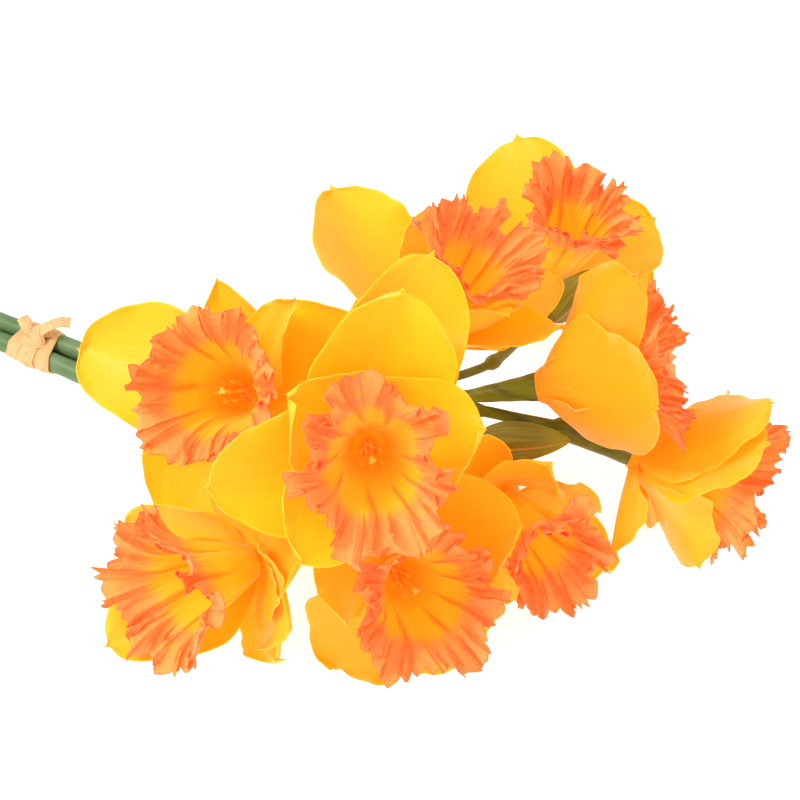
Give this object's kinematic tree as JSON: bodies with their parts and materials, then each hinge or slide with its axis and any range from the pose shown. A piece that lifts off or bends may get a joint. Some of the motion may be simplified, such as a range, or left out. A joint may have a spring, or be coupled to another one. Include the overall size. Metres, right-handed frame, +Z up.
{
  "type": "tied bunch of daffodils",
  "caption": "Tied bunch of yellow daffodils with ruffled orange trumpets on branched green stems, lying on its side.",
  "frame": {"origin": "middle of the underside of the whole bunch's box, on the surface that it lies on", "axes": "+X along the stems from their cut ends to the flowers, +Z up"},
  "size_m": [0.3982, 0.265, 0.142],
  "materials": {
    "tepal_yellow": "satin petal with faint veins",
    "corona_orange": "satin petal with deep ribs",
    "stamen_yellow": "powdery matte",
    "stem_green": "smooth, slightly waxy",
    "spathe_olive": "dry and papery with a pale midrib",
    "raffia": "flat straw-coloured fibre"
  },
  "bodies": {
    "root": {"stem_a": "stem_green", "stem_b": "stem_green", "stem_c": "stem_green", "spathe_5": "spathe_olive", "spathe_7": "spathe_olive", "raffia_tie": "raffia", "perianth_1": "tepal_yellow", "perianth_2": "tepal_yellow", "perianth_3": "tepal_yellow", "perianth_4": "tepal_yellow", "perianth_5": "tepal_yellow", "perianth_6": "tepal_yellow", "perianth_7": "tepal_yellow", "perianth_8": "tepal_yellow", "perianth_9": "tepal_yellow", "corona_1": "corona_orange", "corona_2": "corona_orange", "corona_3": "corona_orange", "corona_4": "corona_orange", "corona_5": "corona_orange", "corona_6": "corona_orange", "corona_7": "corona_orange", "corona_8": "corona_orange", "corona_9": "corona_orange", "pistil_1": "stamen_yellow", "pistil_2": "stamen_yellow", "pistil_3": "stamen_yellow", "pistil_4": "stamen_yellow", "pistil_5": "stamen_yellow", "pistil_6": "stamen_yellow", "pistil_7": "stamen_yellow", "pistil_8": "stamen_yellow", "pistil_9": "stamen_yellow"}
  },
  "joints": []
}
